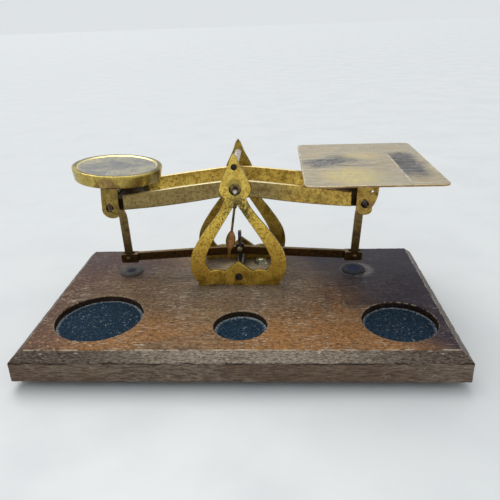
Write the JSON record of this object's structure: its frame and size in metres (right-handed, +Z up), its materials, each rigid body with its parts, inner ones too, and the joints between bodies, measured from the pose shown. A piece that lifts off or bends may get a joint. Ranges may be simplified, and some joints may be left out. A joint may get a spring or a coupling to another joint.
{
  "type": "letter balance",
  "caption": "Equal-arm letter balance: double-bar beam on a knife edge in a two-plate brass stand, round weight pan and flat goods plate, on a wooden plinth with weight wells.",
  "frame": {"origin": "centre of the plinth, on the surface that its base felt stands on", "axes": "+Z up, +X along the beam towards the goods plate, +Y to the rear"},
  "size_m": [0.2, 0.1225, 0.0884],
  "materials": {
    "plinth_wood": "old oiled hardwood, worn edges",
    "well_felt": "dusty dark blue felt",
    "base_baize": "dark baize",
    "stand_brass": "worn lacquered cast brass, patchy patina",
    "beam_brass": "dull brushed brass",
    "carrier_brass": "dull brass with dark patina",
    "pan_brass": "pale worn brass with grey tarnish",
    "stem_bronze": "dark brown patinated brass",
    "dark_steel": "blackened steel",
    "pale_steel": "bare pale steel",
    "leaf_copper": "reddish copper-coloured leaf"
  },
  "bodies": {
    "root": {"base_board": "plinth_wood", "left_well_felt": "well_felt", "centre_well_felt": "well_felt", "right_well_felt": "well_felt", "base_felt": "base_baize", "front_stand_plate": "stand_brass", "rear_stand_plate": "stand_brass", "top_pillar": "pale_steel", "bottom_pillar": "dark_steel", "stand_screws": "dark_steel", "washer_screw": "pale_steel", "cup_washer": "pale_steel", "stay_post": "dark_steel", "stay_pin": "dark_steel", "left_buffer_pad": "well_felt", "right_buffer_pad": "well_felt"},
    "beam": {"front_beam_bar": "beam_brass", "rear_beam_bar": "beam_brass", "centre_knife_edge": "pale_steel", "hub_spacer": "pale_steel", "beam_rivets": "beam_brass", "pointer_rod": "stem_bronze", "pointer_leaf": "leaf_copper", "left_end_block": "dark_steel", "right_end_block": "dark_steel", "left_knife_edge": "pale_steel", "right_knife_edge": "pale_steel"},
    "weight_carrier": {"weight_pan": "pan_brass", "weight_bracket": "carrier_brass", "weight_cross_bar": "stem_bronze", "weight_stem": "stem_bronze", "weight_rivets": "pan_brass"},
    "goods_carrier": {"goods_plate": "pan_brass", "goods_bracket": "carrier_brass", "goods_cross_bar": "stem_bronze", "goods_stem": "stem_bronze", "goods_rivets": "pan_brass"},
    "lower_stay": {"stay_strip": "stem_bronze", "left_fork": "stem_bronze", "right_fork": "stem_bronze", "left_fork_pin": "stem_bronze", "right_fork_pin": "stem_bronze"}
  },
  "joints": [
    {"name": "beam_tilt", "type": "hinge", "parent": "root", "child": "beam", "pos_m": [-0.00215, 0.0235, 0.06715], "axis": [0, 1, 0], "range_deg": [-4, 4]},
    {"name": "weight_pan_hang", "type": "hinge", "parent": "beam", "child": "weight_carrier", "pos_m": [-0.06595, 0.0235, 0.0647], "axis": [0, 1, 0], "range_deg": [-4, 4]},
    {"name": "goods_plate_hang", "type": "hinge", "parent": "beam", "child": "goods_carrier", "pos_m": [0.06165, 0.0235, 0.0647], "axis": [0, 1, 0], "range_deg": [-4, 4]},
    {"name": "stay_tilt", "type": "hinge", "parent": "root", "child": "lower_stay", "pos_m": [-0.00215, 0.0235, 0.032], "axis": [0, 1, 0], "range_deg": [-4, 4]}
  ],
  "couplings": [
    {"joint": "weight_pan_hang", "follows": "beam_tilt", "ratio": -1},
    {"joint": "goods_plate_hang", "follows": "beam_tilt", "ratio": -1},
    {"joint": "stay_tilt", "follows": "beam_tilt", "ratio": 1}
  ]
}
